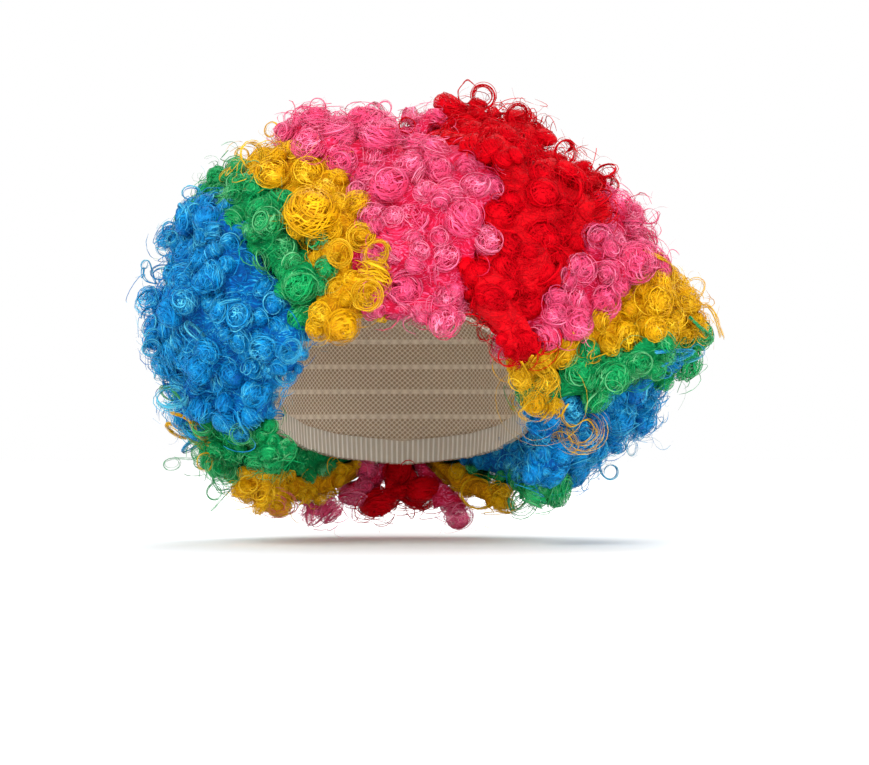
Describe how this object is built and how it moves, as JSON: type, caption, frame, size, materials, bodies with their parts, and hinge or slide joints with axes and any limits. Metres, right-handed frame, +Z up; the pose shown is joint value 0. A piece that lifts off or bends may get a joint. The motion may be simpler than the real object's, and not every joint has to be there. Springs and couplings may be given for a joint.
{
  "type": "clown wig",
  "caption": "Curly multicoloured clown wig for a child: a stretch cap with an elastic edge band and coloured sections of tight curls.",
  "frame": {"origin": "inside of the cap where the crown of the head meets it", "axes": "+Z up through the crown, -Y the way the face looks, +X to the wearer's left"},
  "size_m": [0.2841, 0.2711, 0.2183],
  "materials": {
    "cap_net": "stretch net",
    "elastic": "ribbed elastic",
    "hair_red": "curled synthetic fibre with a soft sheen",
    "hair_pink": "curled synthetic fibre with a soft sheen",
    "hair_yellow": "curled synthetic fibre with a soft sheen",
    "hair_green": "curled synthetic fibre with a soft sheen",
    "hair_blue": "curled synthetic fibre with a soft sheen"
  },
  "bodies": {
    "root": {"cap": "cap_net", "edge_band": "elastic", "hair_blue_right": "hair_blue", "hair_green_right": "hair_green", "hair_yellow_right": "hair_yellow", "hair_pink_right": "hair_pink", "hair_red_front": "hair_red", "hair_pink_left": "hair_pink", "hair_yellow_left": "hair_yellow", "hair_green_left": "hair_green", "hair_blue_left": "hair_blue", "hair_green_back_left": "hair_green", "hair_yellow_back_left": "hair_yellow", "hair_pink_back_left": "hair_pink", "hair_red_back": "hair_red", "hair_pink_back_right": "hair_pink", "hair_yellow_back_right": "hair_yellow", "hair_green_back_right": "hair_green"}
  },
  "joints": []
}
